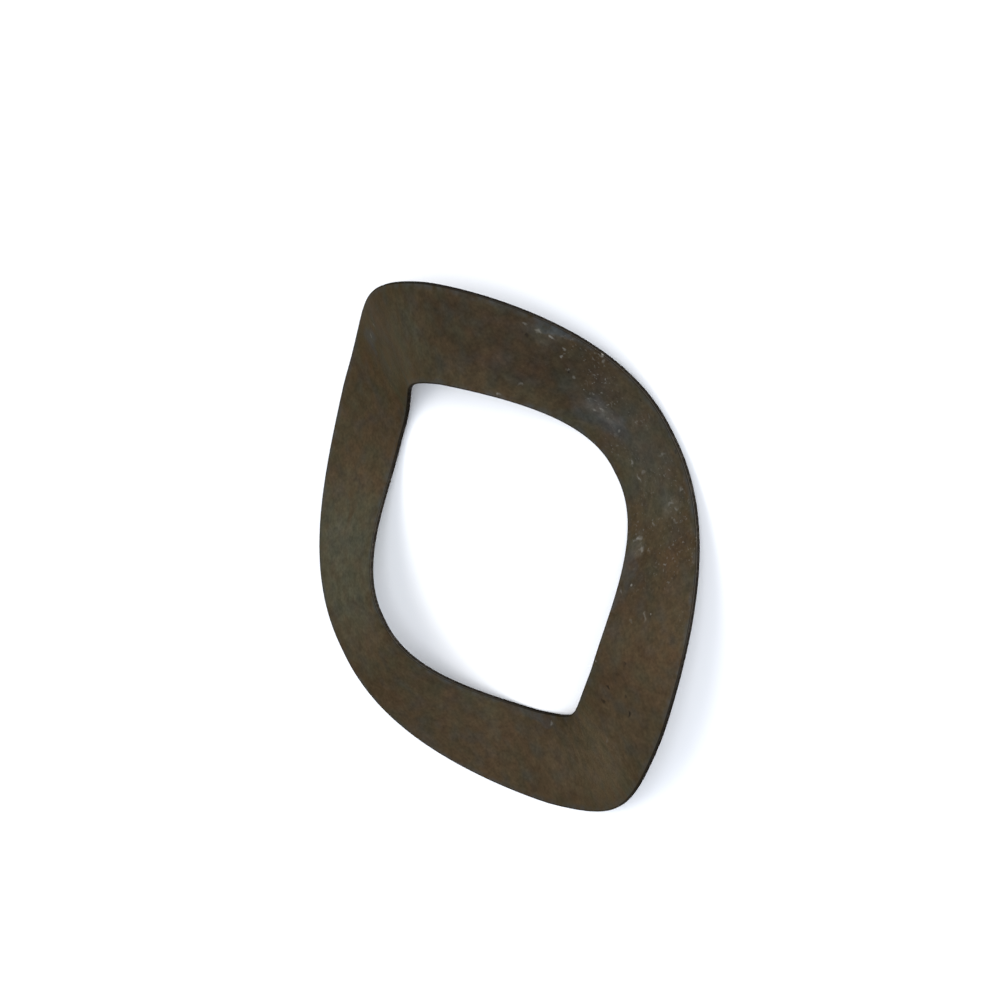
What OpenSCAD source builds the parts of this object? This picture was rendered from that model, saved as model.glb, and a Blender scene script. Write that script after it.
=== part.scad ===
// Three-wave spring washer: one ring of thin spring strip, pressed into three waves.
// It lies on the plane z = 0 on the lands of its three troughs, with its bore along Z.

/* [Ring] */
// Outside diameter
rim_d = 25.4; // [20:0.1:40]
// Bore diameter, a clearance over a 16 mm shaft
bore_d = 16.2; // [8:0.1:18]
// Thickness of the strip
strip_t = 0.2; // [0.1:0.05:0.5]

/* [Waves] */
// Arc of each crest and trough that bears as a flat land, in degrees
land_arc = 4; // [2:0.5:12]
// Each land's height at the bore and at the rim, from the seat to its underside.
// Two unequal heights are a land that leans across the strip, as use has left it.
trough_1 = [0, 0.3];
crest_1 = [3.3, 3.5];
trough_2 = [0.3, 0];
crest_2 = [2.75, 2.3];
trough_3 = [0.1, 0];
crest_3 = [2.7, 2.75];

/* [Hidden] */

bore_r = bore_d / 2;
rim_r = rim_d / 2;
lands = [trough_1, crest_1, trough_2, crest_2, trough_3, crest_3];
land_count = len(lands);
land_pitch = 360 / land_count;
// A flank is the slope between two lands
flank_arc = land_pitch - land_arc;
flank_steps = 28;
// Bands of facets across the strip, from the bore to the rim
bands = 3;
// The strip is pressed a little wider than the ring on both sides, then sheared to size
shear_margin = 0.5;
bore_side_r = bore_r - shear_margin;
rim_side_r = rim_r + shear_margin;
shear_h = max([for (land = lands) max(land)]) + 2 * strip_t + 2 * shear_margin;
shear_fn = 240;

// The lines across the strip where it is bent. Each is [angle, its heights at the bore and
// the rim, their slopes as height per radian], with a half cosine along each flank.
function bend_line(land, step) =
    let (
        start = lands[land],
        climb = lands[(land + 1) % land_count] - start,
        along = 180 * step / flank_steps,
        steepest = 90 / flank_arc
    )
    [
        land * land_pitch + land_arc / 2 + flank_arc * step / flank_steps,
        start + climb * (1 - cos(along)) / 2,
        climb * steepest * sin(along)
    ];

bend_lines = [for (land = [0 : land_count - 1], step = [0 : flank_steps]) bend_line(land, step)];
lines = len(bend_lines);

// The value at radius r on the straight line through a pair given at the bore and the rim
function across(pair, r) = pair[0] + (pair[1] - pair[0]) * (r - bore_r) / (rim_r - bore_r);

// A point of the upper (side = 1) or lower (side = -1) face: half the strip's thickness
// from its middle, square to the slopes along and across the strip at that radius
function face_point(side, r, line) =
    let (
        slope_along = across(line[2], r) / r,
        slope_across = (line[1][1] - line[1][0]) / (rim_r - bore_r),
        off = side * strip_t / 2 / norm([slope_along, slope_across, 1]),
        out = r - off * slope_across,
        round = -off * slope_along
    )
    [
        out * cos(line[0]) - round * sin(line[0]),
        out * sin(line[0]) + round * cos(line[0]),
        strip_t / 2 + across(line[1], r) + off
    ];

function band_r(band) = bore_side_r + (rim_side_r - bore_side_r) * band / bands;

strip_points = [
    for (side = [1, -1], band = [0 : bands], line = bend_lines)
        face_point(side, band_r(band), line)
];

// Place in strip_points of the point on one face (0 upper, 1 lower), band edge and bend line
function spot(face, band, line) = (face * (bands + 1) + band) * lines + line % lines;

// A four-cornered patch as two triangles, because a patch on a flank is slightly twisted
function patch(a, b, c, d) = [[a, b, c], [a, c, d]];

strip_faces = [
    for (line = [0 : lines - 1], next = line + 1) each concat(
        [for (band = [0 : bands - 1]) each concat(
            patch(spot(0, band, line), spot(0, band, next), spot(0, band + 1, next), spot(0, band + 1, line)),
            patch(spot(1, band, line), spot(1, band + 1, line), spot(1, band + 1, next), spot(1, band, next))
        )],
        patch(spot(0, 0, line), spot(1, 0, line), spot(1, 0, next), spot(0, 0, next)),
        patch(spot(0, bands, line), spot(0, bands, next), spot(1, bands, next), spot(1, bands, line))
    )
];

// The waved strip before its edges are sheared
module pressed_strip() {
    polyhedron(points = strip_points, faces = strip_faces, convexity = 6);
}

// The blanking die's ring, with the true round walls of the rim and the bore
module blanked_ring() {
    translate([0, 0, -shear_margin])
        difference() {
            cylinder(d = rim_d, h = shear_h, $fn = shear_fn);
            translate([0, 0, -shear_margin])
                cylinder(d = bore_d, h = shear_h + 2 * shear_margin, $fn = shear_fn);
        }
}

module wave_washer() {
    color("#47423a")
        intersection() {
            pressed_strip();
            blanked_ring();
        }
}

wave_washer();
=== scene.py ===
import math
import bpy
from mathutils import Matrix, Vector


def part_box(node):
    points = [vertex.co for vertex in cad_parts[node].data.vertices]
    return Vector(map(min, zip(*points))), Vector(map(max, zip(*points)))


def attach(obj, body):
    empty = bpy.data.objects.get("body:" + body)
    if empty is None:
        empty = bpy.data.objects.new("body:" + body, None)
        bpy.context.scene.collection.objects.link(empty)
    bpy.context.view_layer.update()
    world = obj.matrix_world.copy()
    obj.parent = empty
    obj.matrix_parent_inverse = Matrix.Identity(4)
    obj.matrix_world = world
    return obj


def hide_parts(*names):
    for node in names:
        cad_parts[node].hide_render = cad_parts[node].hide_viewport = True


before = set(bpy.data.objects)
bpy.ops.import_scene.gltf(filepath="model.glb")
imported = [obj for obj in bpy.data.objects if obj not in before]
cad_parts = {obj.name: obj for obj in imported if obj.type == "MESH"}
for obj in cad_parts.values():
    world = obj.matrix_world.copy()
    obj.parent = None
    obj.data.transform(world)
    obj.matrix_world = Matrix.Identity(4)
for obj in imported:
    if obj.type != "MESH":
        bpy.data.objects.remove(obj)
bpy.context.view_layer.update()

mm = 0.001
boxLow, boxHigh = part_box("wave_washer")
rimRadius = (boxHigh.x - boxLow.x) / 2


def linearColour(hexColour):
    # sRGB hex to the linear values that Blender's colour sockets take
    channels = []
    for place in (1, 3, 5):
        level = int(hexColour[place:place + 2], 16) / 255
        if level <= 0.04045:
            channels.append(level / 12.92)
        else:
            channels.append(((level + 0.055) / 1.055) ** 2.4)
    return (channels[0], channels[1], channels[2], 1.0)


def pickSocket(sockets, name):
    shown = [socket for socket in sockets if socket.enabled]
    if isinstance(name, int):
        return shown[name]
    for socket in shown:
        if socket.name == name:
            return socket
    raise KeyError("no socket " + name)


def addNode(tree, kind, settings=None, inputs=None, output=0):
    # adds a node with its settings, and links or fills its sockets
    node = tree.nodes.new("ShaderNode" + kind)
    for name, value in (settings or {}).items():
        setattr(node, name, value)
    for name, value in (inputs or {}).items():
        socket = pickSocket(node.inputs, name)
        if isinstance(value, bpy.types.NodeSocket):
            tree.links.new(value, socket)
        else:
            socket.default_value = value
    if not node.outputs:
        return node
    return pickSocket(node.outputs, output)


# nearly all of a noise pattern's levels lie between its low and its high
noiseLow = 0.3
noiseMiddle = 0.5
noiseHigh = 0.7


def addNoise(tree, place, size, detail, output=0, roughness=0.5):
    # a soft pattern with blotches about size mm across, and detail more layers of finer ones
    return addNode(tree, "TexNoise", {}, {
        "Vector": place, "Scale": 1 / (size * mm), "Detail": detail, "Roughness": roughness,
    }, output)


def remap(tree, value, start, end, bottom=0, top=1, settings=None):
    # bottom where the value is at start, top where it is at end
    return addNode(tree, "MapRange", settings, {
        "Value": value, "From Min": start, "From Max": end, "To Min": bottom, "To Max": top,
    })


def multiply(tree, first, second):
    return addNode(tree, "Math", {"operation": "MULTIPLY"}, {0: first, 1: second})


def layTint(tree, colour, share, tint):
    # covers a colour by a share from 0 to 1 of the tint
    return addNode(tree, "Mix", {"data_type": "RGBA"}, {
        "Factor": share, "A": colour, "B": linearColour(tint),
    })


def newMaterial(name):
    material = bpy.data.materials.new(name)
    material.use_nodes = True
    material.node_tree.nodes.clear()
    return material


view = {
    "aim": (1.863, 1.696, 1.5),  # mm, where the lens points
    "azimuth": -9.827,  # degrees from +X towards +Y
    "elevation": 38.457,
    "distance": 132.504,  # mm from the aim
    "roll": 109.846,  # degrees, the camera turned about its own line of sight
    "lens": 107.727,  # mm
    "sensor": 36,  # mm wide
    "nearest": 5,  # mm from the lens, nothing closer is drawn
    "farthest": 10000,  # mm
}


def placeCamera():
    azimuth = math.radians(view["azimuth"])
    elevation = math.radians(view["elevation"])
    roll = math.radians(view["roll"])
    back = Vector((
        math.cos(elevation) * math.cos(azimuth),
        math.cos(elevation) * math.sin(azimuth),
        math.sin(elevation),
    ))
    levelRight = (-back).cross(Vector((0, 0, 1))).normalized()
    levelUp = levelRight.cross(-back)
    up = math.cos(roll) * levelUp + math.sin(roll) * levelRight
    right = up.cross(back)
    turn = Matrix((right, up, back)).transposed()
    aim = Vector(view["aim"]) * mm
    data = bpy.data.cameras.new("viewCamera")
    data.lens = view["lens"]
    data.sensor_width = view["sensor"]
    data.clip_start = view["nearest"] * mm
    data.clip_end = view["farthest"] * mm
    camera = bpy.data.objects.new("viewCamera", data)
    camera.matrix_world = Matrix.Translation(aim + back * view["distance"] * mm) @ turn.to_4x4()
    bpy.context.scene.collection.objects.link(camera)
    bpy.context.scene.camera = camera


placeCamera()
print("camera placed")


washer = {
    "node": "wave_washer",
    "boreRadius": 8.1,  # mm, as every length here
    "stripThickness": 0.2,
    # underside of each trough and crest in turn, from +X: its height at the bore and at the rim
    "landHeights": ((0, 0.3), (3.3, 3.5), (0.3, 0), (2.75, 2.3), (0.1, 0), (2.7, 2.75)),
    "landArc": 4.0,  # degrees that each crest and trough bears flat
    "roundSteps": 720,  # facets round the ring
    "acrossCuts": 11,  # lines of points between the bore and the rim
    "edgeBreak": 0.05,  # the rounding that tumbling leaves on the sheared edges
    "edgeSegments": 3,
    "edgeAngle": 60,  # degrees, a corner sharper than this is an edge to round
    "wallFacing": 0.85,  # a face that looks this squarely along the radius is sheared wall
}


def landShare(angle, land):
    # how far the height at an angle is that land's: 1 on it, 0 on the next, a half cosine between
    landPitch = 360 / len(washer["landHeights"])
    away = abs((angle - land * landPitch + 180) % 360 - 180)
    along = (away - washer["landArc"] / 2) / (landPitch - washer["landArc"])
    along = min(max(along, 0), 1)
    return (1 + math.cos(math.pi * along)) / 2


def makeFlatRing(boreRadius, height):
    # a circle at the bore, extruded out to the rim
    bpy.ops.object.select_all(action="DESELECT")
    bpy.ops.mesh.primitive_circle_add(
        vertices=washer["roundSteps"],
        radius=boreRadius,
        location=(0, 0, height),
    )
    ring = bpy.context.object
    bpy.ops.object.transform_apply(location=True, rotation=True, scale=True)
    spread = rimRadius / boreRadius
    bpy.ops.object.mode_set(mode="EDIT")
    bpy.ops.mesh.select_all(action="SELECT")
    bpy.ops.mesh.extrude_edges_move()
    bpy.ops.transform.resize(value=(spread, spread, 1), center_override=(0, 0, height))
    bpy.ops.mesh.select_mode(type="EDGE")
    bpy.ops.mesh.select_all(action="DESELECT")
    bpy.ops.object.mode_set(mode="OBJECT")
    return ring


def cutAcross(ring, boreRadius):
    # cuts the edges that run from bore to rim, so that the strip can bend
    points = ring.data.vertices
    for edge in ring.data.edges:
        ends = [math.hypot(points[i].co.x, points[i].co.y) for i in edge.vertices]
        edge.select = abs(ends[0] - ends[1]) > 0.5 * (rimRadius - boreRadius)
    bpy.ops.object.mode_set(mode="EDIT")
    bpy.ops.mesh.subdivide(number_cuts=washer["acrossCuts"])
    bpy.ops.mesh.select_all(action="SELECT")
    bpy.ops.mesh.normals_make_consistent(inside=False)
    bpy.ops.object.mode_set(mode="OBJECT")


def pressLand(ring, boreRadius, land, side, height):
    # lifts a land's bore or rim side, less and less towards its other side and the next lands
    group = ring.vertex_groups.new(name=side)
    for point in ring.data.vertices:
        angle = math.degrees(math.atan2(point.co.y, point.co.x))
        outward = (math.hypot(point.co.x, point.co.y) - boreRadius) / (rimRadius - boreRadius)
        share = landShare(angle, land) * (outward if side == "rim" else 1 - outward)
        if share > 0:
            group.add([point.index], share, "REPLACE")
    press = ring.modifiers.new("press", "DISPLACE")
    press.direction = "Z"
    press.mid_level = 0
    press.strength = height * mm
    press.vertex_group = group.name
    bpy.ops.object.modifier_apply(modifier=press.name)
    ring.vertex_groups.remove(ring.vertex_groups[0])


def thickenStrip(ring, thickness):
    # the strip's thickness on both sides of its middle, then the broken edges
    bpy.ops.object.shade_smooth()
    wall = ring.modifiers.new("thickness", "SOLIDIFY")
    wall.thickness = thickness
    wall.offset = 0
    wall.use_even_offset = True
    bpy.ops.object.modifier_apply(modifier=wall.name)
    soften = ring.modifiers.new("edgeBreak", "BEVEL")
    soften.width = washer["edgeBreak"] * mm
    soften.segments = washer["edgeSegments"]
    soften.limit_method = "ANGLE"
    soften.angle_limit = math.radians(washer["edgeAngle"])
    soften.harden_normals = True
    bpy.ops.object.modifier_apply(modifier=soften.name)


def makeWasher():
    boreRadius = washer["boreRadius"] * mm
    thickness = washer["stripThickness"] * mm
    piece = makeFlatRing(boreRadius, thickness / 2)
    piece.name = "springWasher"
    cutAcross(piece, boreRadius)
    for land, heights in enumerate(washer["landHeights"]):
        for side, height in zip(("bore", "rim"), heights):
            if height > 0:
                pressLand(piece, boreRadius, land, side, height)
    thickenStrip(piece, thickness)
    return piece


def paintWasher(piece, faceSteel, edgeSteel):
    # the strip's skin on both faces and their broken corners, a near-black one on the sheared
    # walls, which paints their shade
    piece.data.materials.append(faceSteel)
    piece.data.materials.append(edgeSteel)
    bpy.ops.object.mode_set(mode="EDIT")
    bpy.ops.mesh.select_mode(type="FACE")
    bpy.ops.mesh.select_all(action="DESELECT")
    bpy.ops.object.mode_set(mode="OBJECT")
    for face in piece.data.polygons:
        outward = Vector((face.center.x, face.center.y, 0)).normalized()
        face.select = abs(face.normal.dot(outward)) > washer["wallFacing"]
    bpy.ops.object.mode_set(mode="EDIT")
    piece.active_material_index = 1
    bpy.ops.object.material_slot_assign()
    bpy.ops.object.mode_set(mode="OBJECT")
    bpy.ops.object.select_all(action="DESELECT")


washerPiece = makeWasher()
print("washer modelled,", len(washerPiece.data.polygons), "faces")


# The wall that the blanking die left, with score marks across the strip; its near-black colour is
# painted shade, as the wall stays dark under the light.
shearedEdge = {
    # near black: painted shade of the sheared wall
    "wallShade": "#27231e",
    "scored": "#3c3730",
    "grazeTint": (0.3, 0.3, 0.3, 1),  # how much of a grazing light comes back
    "roughness": 0.6,
    "tearSize": 0.12,  # mm between the die's score marks
    "tearShows": (0.45, 0.7),  # noise levels where a mark starts to show and is full
    "tearStretch": 10,  # times longer across the wall than along it
    "tearDepth": 0.01,  # mm
    "tearStrength": 0.6,
}


def makeShearedEdge():
    material = newMaterial("shearedEdge")
    tree = material.node_tree
    place = addNode(tree, "TexCoord", output="Object")
    # squeezed in height, so that the score marks run across the wall
    along = addNode(tree, "Mapping", {}, {
        "Vector": place, "Scale": (1, 1, 1 / shearedEdge["tearStretch"]),
    })
    tears = addNoise(tree, along, shearedEdge["tearSize"], 3.0)
    share = remap(tree, tears, *shearedEdge["tearShows"])
    colour = layTint(tree, linearColour(shearedEdge["wallShade"]), share, shearedEdge["scored"])
    relief = addNode(tree, "Bump", {}, {
        "Height": tears,
        "Strength": shearedEdge["tearStrength"],
        "Distance": shearedEdge["tearDepth"] * mm,
    })
    shader = addNode(tree, "BsdfPrincipled", {}, {
        "Base Color": colour,
        "Metallic": 1.0,
        "Roughness": shearedEdge["roughness"],
        "Specular Tint": shearedEdge["grazeTint"],
        "Normal": relief,
    })
    addNode(tree, "OutputMaterial", {}, {"Surface": shader})
    return material


# Cold-rolled spring steel strip, hardened and tempered in oil: a thin, dark oxide skin that
# drifts from olive to brown and blue-grey, dull but still metal where the light grazes it.
stripSteel = {
    "olive": "#524b38",
    "redBrown": "#5a4935",
    "greenGrey": "#625e4b",
    "blueGrey": "#4e5253",
    "tan": "#6a5c47",
    "umber": "#43392b",
    "soot": "#2b2620",
    "paleScuff": "#9a958a",
    "redSpeck": "#5b4434",
    "greenSpeck": "#454b3d",
    "ochreSpeck": "#594d37",
    "blueSpeck": "#4a4a46",
    "grazeTint": (0.54, 0.5, 0.44, 1),  # how much of a grazing light comes back
    "roughness": 0.52,
    "roughnessDrift": 0.06,  # duller and shinier than that, with the mottle
    # sizes in mm
    "cloudSize": 1.7,  # the drift of the oxide's colour
    "mottleSize": 0.5,
    "speckSize": 0.9,  # reddish, greenish, yellowish and bluish specks
    "grainSize": 0.15,  # the real etch is finer, drawn as coarse as it shows
    "dustSize": 0.13,  # fine pale flecks on the side towards +X
    "grainHeight": 0.01,
    "edgeShadeBand": 0.08,  # painted shade: a near-black line beside each sheared edge, over its rounded corner
    "edgeSheenBand": 0.35,  # blue-grey strip inside it: painted reflection of the rolled-over edge
    # how strongly each layer shows
    "mottleDepth": 0.15,  # lighter and darker than the tint it lies on
    "grainDepth": 0.13,
    "grainStrength": 0.5,
    "speckShare": 0.29,
    "speckReach": 0.22,  # how far from its middle level the noise is where a speck is full
    "edgeShadeShare": 0.85,
    "dustShare": 0.5,
    "brokenShare": 0.55,  # what is left of a mark where the grain breaks it up
    # noise levels where each starts to show and is full
    "edgeSheenShows": (0.4, 0.7),
    "dustShows": (0.62, 0.76),
    "dustThickens": (0.42, 0.6),
    "markShows": (0.38, 0.58),
    # outlines of tints and marks wander: the size of the wander's waves and its reach, in mm
    "tintWander": (1.3, 1.8),
    "markWander": (0.3, 0.4),
    # how far out each kind of oval is full, from 0 in its middle to 1 at its outline
    "tintCore": 0.3,
    "dustCore": 0.4,
    "scuffCore": 0.12,
    "pitCore": 0.3,
    # broad tints: colour, angle and radius of the middle, length, width,
    # lean away from the radius, strength
    "tints": (
        # partly painted shade: this flank is darker from the dim surround it reflects, as well as
        # browner
        ("umber", 38, 11.0, 14.0, 7.0, 90, 0.9),
        ("umber", 86, 10.8, 9.0, 7.0, 90, 0.9),
        ("umber", 318, 9.2, 8.0, 5.0, 90, 0.75),
        ("redBrown", 235, 10.4, 18.0, 7.0, 90, 0.7),
        ("redBrown", 305, 10.6, 14.0, 7.0, 90, 0.6),
        ("redBrown", 112, 9.3, 4.0, 2.4, 90, 0.6),
        ("tan", 268, 10.0, 13.0, 6.0, 90, 0.8),
        ("tan", 180, 10.4, 5.0, 6.0, 90, 0.45),
        # partly painted highlight: this flank's lighter grey-green is its sheen under the light as
        # well as its oxide
        ("greenGrey", 161, 10.4, 10.0, 8.0, 90, 0.95),
        ("greenGrey", 224, 9.8, 1.5, 1.0, 0, 0.4),
        ("greenGrey", 72, 10.4, 5.0, 5.0, 90, 0.4),
        ("greenGrey", 98, 9.8, 4.0, 3.0, 90, 0.35),
        ("greenGrey", 356, 10.3, 7.0, 5.0, 90, 0.4),
        ("redBrown", 147, 10.1, 2.6, 0.8, 90, 0.6),
        ("soot", 205, 8.5, 3.0, 0.8, 90, 0.25),
        ("blueGrey", 13, 9.8, 4.0, 2.4, 90, 0.6),
        ("blueGrey", 4, 10.6, 9.0, 5.0, 90, 0.22),
        ("blueGrey", 30, 12.4, 2.6, 0.7, 90, 0.7),
        ("blueGrey", 99, 11.6, 2.4, 1.4, 90, 0.6),
        ("blueGrey", 333, 8.5, 3.0, 0.9, 90, 0.45),
        ("blueGrey", 242, 8.4, 3.5, 0.7, 90, 0.4),
        ("paleScuff", 31, 12.0, 2.6, 1.2, 90, 0.1),
        ("paleScuff", 14, 10.0, 2.4, 1.6, 90, 0.12),
        ("paleScuff", 347, 11.3, 1.8, 1.4, 90, 0.14),
        ("paleScuff", 339, 9.0, 1.8, 1.2, 90, 0.14),
    ),
    # rubbed flecks, the skin scraped thin: angle, radius, length, lean, strength
    "scuffs": (
        (35.5, 12.1, 0.35, 90, 0.4), (32.5, 12.05, 0.5, 90, 0.5), (30, 12.05, 0.3, 66, 0.8),
        (27, 11.8, 0.25, 66, 0.5), (27, 11.35, 0.15, 0, 0.9), (25, 10.9, 0.3, 90, 0.6),
        (23, 10.7, 0.3, 53, 0.5), (34, 9.15, 0.25, 124, 0.5), (39, 8.35, 0.2, 103, 0.6),
        (20, 12.6, 0.15, 84, 0.8), (19, 12.4, 0.5, 30, 0.4), (16, 9.8, 0.3, 140, 0.5),
        (14.5, 10.1, 0.25, 148, 0.9), (8, 9.95, 0.35, 160, 0.5), (8, 9.55, 0.6, 170, 0.3),
        (359.5, 9.5, 0.4, 34, 0.6), (356, 9.95, 0.5, 170, 0.4), (355, 9.55, 0.4, 97, 0.6),
        (357.5, 11.65, 0.8, 172, 0.4), (349.5, 12.1, 0.35, 75, 0.4), (347, 11.2, 0.5, 24, 0.7),
        (346, 11.5, 0.35, 140, 0.7), (343.5, 11.3, 0.25, 87, 0.5), (343.5, 9.9, 0.35, 120, 0.4),
        (340, 8.85, 0.8, 12, 0.8), (337.5, 9.2, 0.35, 66, 0.5), (328.5, 8.95, 0.15, 0, 0.9),
        (326, 8.4, 0.25, 175, 0.5), (322.5, 10.1, 0.45, 114, 0.4), (323.5, 10.4, 0.15, 0, 0.6),
        (320, 9.45, 0.35, 117, 0.3), (304.5, 8.25, 0.2, 138, 0.5), (284, 10.3, 0.5, 115, 0.3),
        (247.5, 8.55, 0.35, 94, 0.6), (92.5, 11.6, 0.35, 15, 0.5), (98.5, 11.6, 0.35, 156, 0.5),
    ),
    # pits where the skin has broken, in the same order
    "pits": (
        (300, 9.3, 0.35, 32, 0.8), (295, 9.3, 0.4, 30, 0.8), (309.5, 9.75, 0.2, 0, 0.6),
        (298.5, 10.8, 0.4, 117, 1), (302, 10.3, 0.25, 118, 0.6), (34.5, 11.6, 0.2, 0, 0.7),
        (24.6, 10.82, 0.2, 0, 0.9), (9, 12.25, 0.2, 0, 0.5), (329.5, 10.6, 0.2, 0, 0.5),
        (356.5, 12.5, 0.25, 157, 0.6),
    ),
    "markWidth": 0.22,
    "dustPatch": (356, 10.4, 17.0, 7.0, 90),  # angle, radius, length, width, lean
}


def ovalMask(tree, place, angle, radius, length, width, lean, core):
    # 1 in the middle of an oval that lies on the ring, and 0 from its outline out
    turn = math.radians(angle)
    local = addNode(tree, "Mapping", {"vector_type": "TEXTURE"}, {
        "Vector": place,
        "Location": (radius * mm * math.cos(turn), radius * mm * math.sin(turn), 0),
        "Rotation": (0, 0, turn + math.radians(lean)),
        "Scale": (length / 2 * mm, width / 2 * mm, 1),
    })
    away = addNode(tree, "VectorMath", {"operation": "LENGTH"}, {0: local})
    return remap(tree, away, 1, core, settings={"interpolation_type": "SMOOTHSTEP"})


def wander(tree, place, flat, waves, detail):
    # the place on the ring seen from above, shifted at random, as nothing rubs in clean ovals
    size, reach = waves
    noise = addNoise(tree, place, size, detail, output="Color")
    middle = (noiseMiddle, noiseMiddle, noiseMiddle)
    shift = addNode(tree, "VectorMath", {"operation": "SUBTRACT"}, {0: noise, 1: middle})
    shift = addNode(tree, "VectorMath", {"operation": "SCALE"}, {0: shift, "Scale": reach * mm})
    return addNode(tree, "VectorMath", {"operation": "ADD"}, {0: flat, 1: shift})


def skinPatterns(tree):
    # the places and patterns that the layers of the skin share
    place = addNode(tree, "TexCoord", output="Object")
    facing = addNode(tree, "TexCoord", output="Normal")
    height = addNode(tree, "SeparateXYZ", {}, {"Vector": facing}, output="Z")
    flat = addNode(tree, "VectorMath", {"operation": "MULTIPLY"}, {0: place, 1: (1, 1, 0)})
    return {
        "place": place,
        "flat": flat,
        "upper": remap(tree, height, 0, 0.1),  # 1 on the upper face and 0 on the lower
        "tintPlace": wander(tree, place, flat, stripSteel["tintWander"], 3.0),
        "markPlace": wander(tree, place, flat, stripSteel["markWander"], 2.0),
        "cloud": addNoise(tree, place, stripSteel["cloudSize"], 2.0),
        "mottle": addNoise(tree, place, stripSteel["mottleSize"], 4.0, roughness=0.6),
        "grain": addNoise(tree, place, stripSteel["grainSize"], 2.0),
    }


def layTints(tree, pattern):
    # olive drifting to red-brown, with the broad tints over it
    drift = remap(tree, pattern["cloud"], noiseLow, noiseHigh)
    colour = layTint(tree, linearColour(stripSteel["olive"]), drift, stripSteel["redBrown"])
    for tint, angle, radius, length, width, lean, strength in stripSteel["tints"]:
        mask = ovalMask(
            tree, pattern["tintPlace"], angle, radius, length, width, lean, stripSteel["tintCore"])
        colour = layTint(tree, colour, multiply(tree, mask, strength), stripSteel[tint])
    return colour


def laySpecks(tree, pattern, colour):
    # specks of red, green, yellow and blue oxide, finer than the tints
    specks = addNoise(tree, pattern["place"], stripSteel["speckSize"], 1.0, output="Color")
    reach = stripSteel["speckReach"]
    pairs = (("Red", "redSpeck", "greenSpeck"), ("Green", "ochreSpeck", "blueSpeck"))
    for channel, over, under in pairs:
        level = addNode(tree, "SeparateColor", {}, {"Color": specks}, output=channel)
        for tint, full in ((over, noiseMiddle + reach), (under, noiseMiddle - reach)):
            share = remap(tree, level, noiseMiddle, full, 0, stripSteel["speckShare"])
            colour = layTint(tree, colour, share, stripSteel[tint])
    return colour


def layMottle(tree, pattern, colour):
    # mottle and grain lighten and darken whatever tint they lie on
    light = 1
    for name, depth in (("mottle", stripSteel["mottleDepth"]), ("grain", stripSteel["grainDepth"])):
        part = remap(
            tree, pattern[name], noiseLow, noiseHigh, 1 - depth, 1 + depth, {"clamp": False})
        light = multiply(tree, light, part)
    return addNode(tree, "VectorMath", {"operation": "SCALE"}, {0: colour, "Scale": light})


# painted bands beside the rim and the bore: a blue-grey painted reflection of the rolled-over edge,
# and a near-black painted shade over the rounded edge
def layBands(tree, pattern, colour):
    # worn and scorched bands beside the rim and the bore
    boreRadius = washer["boreRadius"] * mm
    fromAxis = addNode(tree, "VectorMath", {"operation": "LENGTH"}, {0: pattern["flat"]})
    fromRim = addNode(tree, "Math", {"operation": "SUBTRACT"}, {0: rimRadius, 1: fromAxis})
    fromBore = addNode(tree, "Math", {"operation": "SUBTRACT"}, {0: fromAxis, 1: boreRadius})
    fromEdge = addNode(tree, "Math", {"operation": "MINIMUM"}, {0: fromRim, 1: fromBore})
    # painted reflection: the rolled-over edge's blue-grey glint, laid on in patches
    rolledSheen = remap(tree, fromEdge, stripSteel["edgeSheenBand"] * mm, 0)
    patchy = remap(tree, pattern["mottle"], *stripSteel["edgeSheenShows"])
    colour = layTint(tree, colour, multiply(tree, rolledSheen, patchy), stripSteel["blueGrey"])
    # painted shade: near black over each edge's rounded corner and just inside it
    cornerShade = remap(
        tree, fromEdge, stripSteel["edgeShadeBand"] * mm, washer["edgeBreak"] * mm,
        0, stripSteel["edgeShadeShare"], {"interpolation_type": "SMOOTHSTEP"})
    return layTint(tree, colour, cornerShade, shearedEdge["wallShade"])


def layDust(tree, pattern, colour):
    # fine dust of pale flecks, thick in some places and missing in others
    flecks = addNoise(tree, pattern["place"], stripSteel["dustSize"], 1.0)
    flecks = remap(tree, flecks, *stripSteel["dustShows"])
    angle, radius, length, width, lean = stripSteel["dustPatch"]
    patch = ovalMask(
        tree, pattern["tintPlace"], angle, radius, length, width, lean, stripSteel["dustCore"])
    patch = multiply(tree, patch, remap(tree, pattern["cloud"], *stripSteel["dustThickens"]))
    patch = multiply(tree, patch, pattern["upper"])
    share = multiply(tree, multiply(tree, flecks, patch), stripSteel["dustShare"])
    return layTint(tree, colour, share, stripSteel["paleScuff"])


def layMarks(tree, pattern, colour, marks, tint, core):
    # ovals on the upper face alone, broken up by the grain
    broken = remap(tree, pattern["grain"], *stripSteel["markShows"], stripSteel["brokenShare"], 1)
    for angle, radius, length, lean, strength in stripSteel[marks]:
        mask = ovalMask(
            tree, pattern["markPlace"], angle, radius, length, stripSteel["markWidth"], lean, core)
        share = multiply(tree, multiply(tree, mask, strength), broken)
        share = multiply(tree, share, pattern["upper"])
        colour = layTint(tree, colour, share, stripSteel[tint])
    return colour


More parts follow.
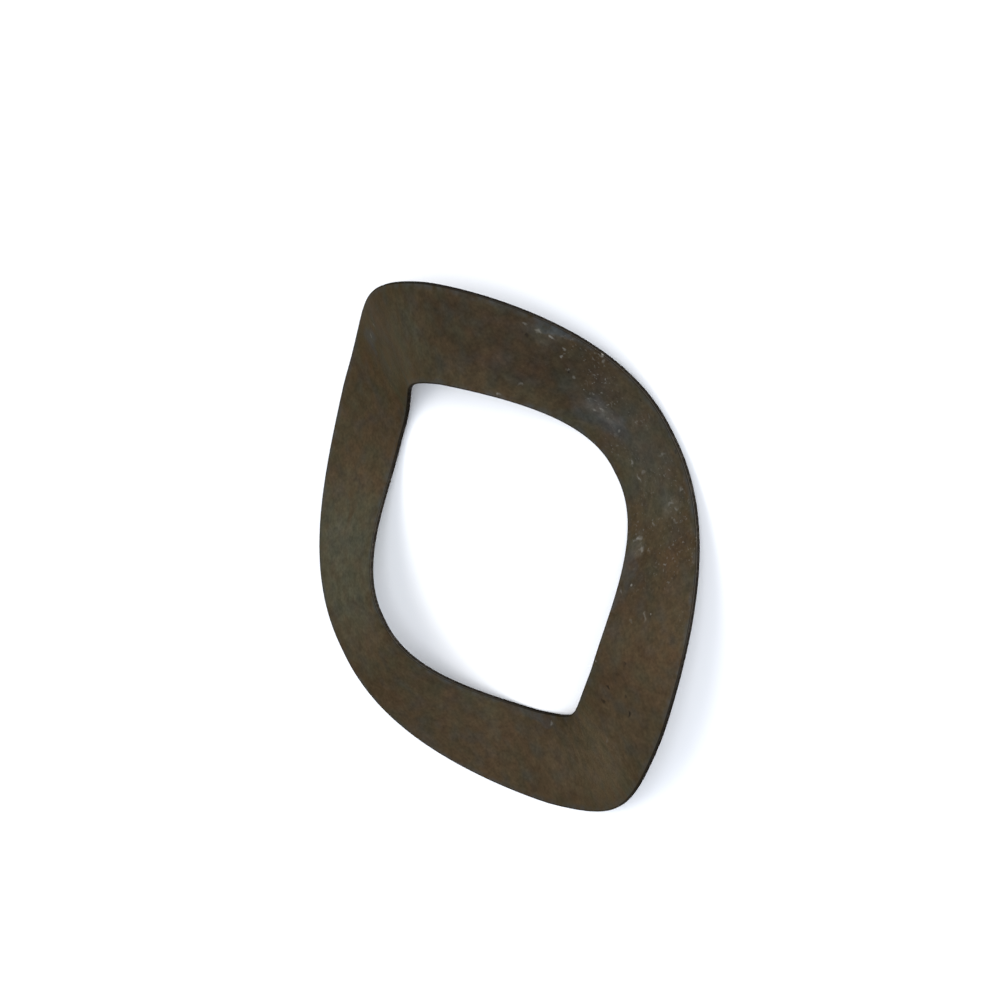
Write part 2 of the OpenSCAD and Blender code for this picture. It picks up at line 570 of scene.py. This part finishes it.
def makeStripSteel():
    material = newMaterial("oilTemperedStrip")
    tree = material.node_tree
    pattern = skinPatterns(tree)
    colour = layTints(tree, pattern)
    colour = laySpecks(tree, pattern, colour)
    colour = layMottle(tree, pattern, colour)
    colour = layBands(tree, pattern, colour)
    colour = layDust(tree, pattern, colour)
    colour = layMarks(tree, pattern, colour, "scuffs", "paleScuff", stripSteel["scuffCore"])
    colour = layMarks(tree, pattern, colour, "pits", "soot", stripSteel["pitCore"])
    dull = stripSteel["roughness"] + stripSteel["roughnessDrift"]
    shiny = stripSteel["roughness"] - stripSteel["roughnessDrift"]
    relief = addNode(tree, "Bump", {}, {
        "Height": pattern["grain"],
        "Strength": stripSteel["grainStrength"],
        "Distance": stripSteel["grainHeight"] * mm,
    })
    shader = addNode(tree, "BsdfPrincipled", {}, {
        "Base Color": colour,
        "Metallic": 1.0,
        "Roughness": remap(tree, pattern["mottle"], noiseLow, noiseHigh, shiny, dull),
        "Specular Tint": stripSteel["grazeTint"],
        "Normal": relief,
    })
    addNode(tree, "OutputMaterial", {}, {"Surface": shader})
    return material


paintWasher(washerPiece, makeStripSteel(), makeShearedEdge())
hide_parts(washer["node"])
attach(washerPiece, "root")
print("materials made")


# White paper under an even sky, a strong softbox low on the camera's side and a weak one
# nearly overhead.
studio = {
    "floorSize": 1.2,  # m
    "floorColour": "#f4f4f4",
    "floorRoughness": 0.9,
    "skyColour": "#ecf3ff",
    "skyStrength": 0.7,
    # which way each softbox stands from the washer, its distance and size in m, watts and colour
    "softboxes": {
        "front": ((0.86, -0.15, 0.48), 0.7, 0.6, 8.0, "#f2f7ff"),
        "overhead": ((0.18, 0.34, 1.0), 0.6, 0.5, 1.35, "#fffaf2"),
    },
}


def makeStudio():
    bpy.ops.object.select_all(action="DESELECT")
    bpy.ops.mesh.primitive_plane_add(size=studio["floorSize"])
    floor = bpy.context.object
    floor.name = "floor"
    paper = newMaterial("whitePaper")
    tree = paper.node_tree
    shader = addNode(tree, "BsdfPrincipled", {}, {
        "Base Color": linearColour(studio["floorColour"]),
        "Roughness": studio["floorRoughness"],
        "Specular IOR Level": 0.0,  # matt paper has no sheen
    })
    addNode(tree, "OutputMaterial", {}, {"Surface": shader})
    floor.data.materials.append(paper)

    world = bpy.data.worlds.new("studioSky")
    world.use_nodes = True
    sky = world.node_tree.nodes["Background"]
    sky.inputs["Color"].default_value = linearColour(studio["skyColour"])
    sky.inputs["Strength"].default_value = studio["skyStrength"]
    bpy.context.scene.world = world

    for name, (towards, distance, size, power, colour) in studio["softboxes"].items():
        data = bpy.data.lights.new(name, "AREA")
        data.shape = "DISK"
        data.size = size
        data.energy = power
        data.color = linearColour(colour)[:3]
        softbox = bpy.data.objects.new(name, data)
        direction = Vector(towards).normalized()
        softbox.location = direction * distance
        softbox.rotation_euler = direction.to_track_quat("Z", "Y").to_euler()
        bpy.context.scene.collection.objects.link(softbox)


makeStudio()
bpy.context.scene.view_settings.view_transform = "Standard"
print("studio lit")
